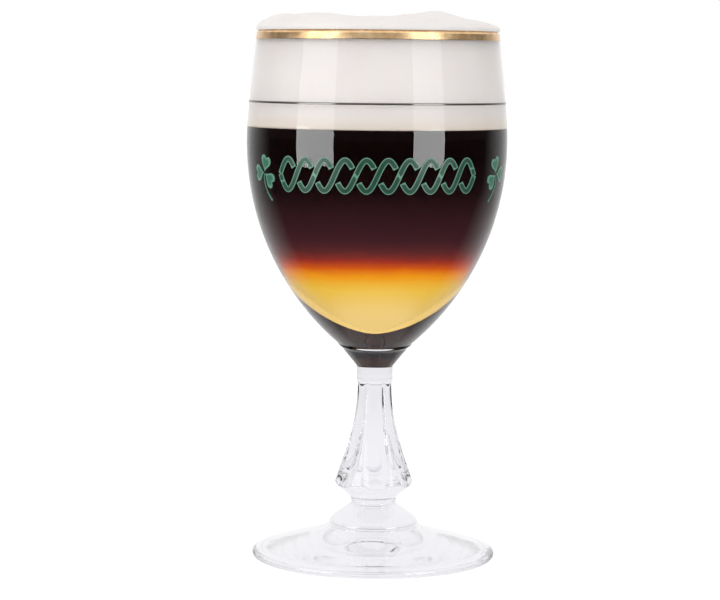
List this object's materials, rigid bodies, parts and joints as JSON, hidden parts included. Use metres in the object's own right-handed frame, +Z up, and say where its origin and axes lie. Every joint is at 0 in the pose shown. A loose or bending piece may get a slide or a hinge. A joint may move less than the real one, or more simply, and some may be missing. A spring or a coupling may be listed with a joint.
{
  "type": "irish coffee glass",
  "caption": "Stemmed clear glass with a fluted stem, gilded rim, fill line and green prints, filled with layered whiskey, coffee and cream.",
  "frame": {"origin": "centre of the foot's base, on the surface that the glass stands on", "axes": "+Z up along the axis of the glass, -Y towards the printed front, +X to the right seen from the front"},
  "size_m": [0.074, 0.074, 0.1559],
  "materials": {
    "clear_glass": "gloss",
    "gilding": "polished",
    "line_enamel": "gloss",
    "green_enamel": "satin",
    "whiskey": "gloss",
    "coffee": "gloss",
    "cream": "matte"
  },
  "bodies": {
    "root": {"bowl": "clear_glass", "stem": "clear_glass", "foot": "clear_glass", "rim_gilding": "gilding", "fill_line": "line_enamel", "shamrock_left": "green_enamel", "shamrock_right": "green_enamel", "knot_border": "green_enamel", "whiskey_layer": "whiskey", "coffee_layer": "coffee", "cream_layer": "cream", "cream_crown": "cream"}
  },
  "joints": []
}
